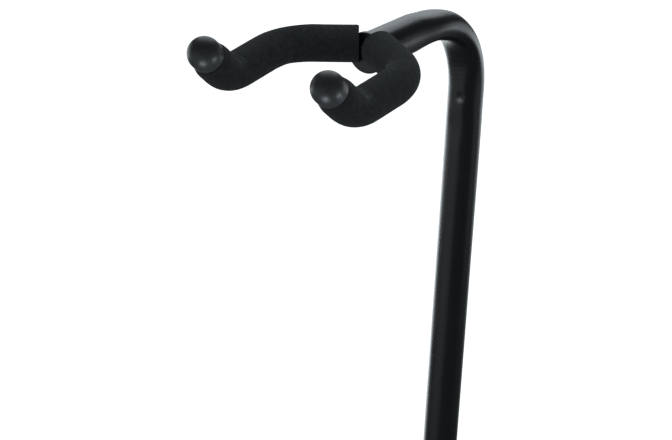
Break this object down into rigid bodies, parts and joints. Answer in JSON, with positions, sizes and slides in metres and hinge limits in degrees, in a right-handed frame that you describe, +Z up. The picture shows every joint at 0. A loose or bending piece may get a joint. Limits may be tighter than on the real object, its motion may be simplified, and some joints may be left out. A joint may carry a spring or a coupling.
{
  "type": "hanging guitar stand",
  "caption": "Tripod guitar stand: a bent tube neck carries a foam-covered yoke, slides and turns in a clamped lower tube, on folding legs.",
  "frame": {"origin": "middle of the footprint box on the floor", "axes": "+Z up along the pole, the guitar hangs on the -Y side, X across the yoke"},
  "size_m": [0.5966, 0.5612, 1.0846],
  "materials": {
    "tube_paint": "black satin powder coat on steel tube",
    "rod_paint": "black satin paint on steel rod",
    "foam": "matte closed-cell foam, near black, fine grain",
    "cap_rubber": "smooth satin moulded rubber",
    "foot_rubber": "matte moulded rubber",
    "plug_plastic": "matte moulded plastic",
    "bush_plastic": "matte sliding plastic",
    "clamp_plastic": "fine textured moulded nylon",
    "knob_plastic": "fine textured moulded nylon",
    "screw_steel": "black zinc plated steel",
    "pad_brass": "turned brass"
  },
  "bodies": {
    "neck": {"neck_tube": "tube_paint", "arm_end_plug": "plug_plastic", "yoke_rod": "rod_paint", "foam_sleeve_left": "foam", "foam_sleeve_right": "foam", "end_cap_left": "cap_rubber", "end_cap_right": "cap_rubber", "pole_guide_plug": "plug_plastic"},
    "bush": {"slide_bush": "bush_plastic"},
    "base": {"lower_tube": "tube_paint", "base_plug": "plug_plastic", "tripod_hub": "clamp_plastic", "hub_screws": "screw_steel", "leg_pivot_bolts": "screw_steel", "leg_pivot_nuts": "screw_steel", "clutch_housing": "clamp_plastic", "clutch_nut": "screw_steel", "rest_collar": "clamp_plastic", "rest_pinch_bolt": "screw_steel", "rest_pinch_nut": "screw_steel", "rest_arm": "tube_paint", "rest_bar": "rod_paint", "rest_sleeve_left": "foam", "rest_sleeve_right": "foam", "rest_cap_left": "cap_rubber", "rest_cap_right": "cap_rubber"},
    "knob": {"clutch_knob": "knob_plastic", "clutch_stud": "screw_steel", "clutch_pad": "pad_brass"},
    "leg_rear": {"leg_knuckle_rear": "clamp_plastic", "leg_tube_rear": "tube_paint", "leg_foot_rear": "foot_rubber"},
    "leg_left": {"leg_knuckle_left": "clamp_plastic", "leg_tube_left": "tube_paint", "leg_foot_left": "foot_rubber"},
    "leg_right": {"leg_knuckle_right": "clamp_plastic", "leg_tube_right": "tube_paint", "leg_foot_right": "foot_rubber"}
  },
  "joints": [
    {"name": "neck_turn", "type": "hinge", "parent": "base", "child": "bush", "pos_m": [0, -0.06193, 0.6], "axis": [0, 0, 1], "continuous": true},
    {"name": "neck_slide", "type": "slide", "parent": "bush", "child": "neck", "axis": [0, 0, 1], "range_m": [-0.16, 0.2]},
    {"name": "knob_turn", "type": "hinge", "parent": "base", "child": "knob", "pos_m": [0, -0.02193, 0.644], "axis": [0, 1, 0], "range_deg": [0, 540]},
    {"name": "leg_fold_rear", "type": "hinge", "parent": "base", "child": "leg_rear", "pos_m": [0, -0.02393, 0.14], "axis": [-1, 0, 0], "range_deg": [0, 64]},
    {"name": "leg_fold_left", "type": "hinge", "parent": "base", "child": "leg_left", "pos_m": [-0.03291, -0.08093, 0.14], "axis": [0.5, -0.866, 0], "range_deg": [0, 64]},
    {"name": "leg_fold_right", "type": "hinge", "parent": "base", "child": "leg_right", "pos_m": [0.03291, -0.08093, 0.14], "axis": [0.5, 0.866, 0], "range_deg": [0, 64]}
  ]
}
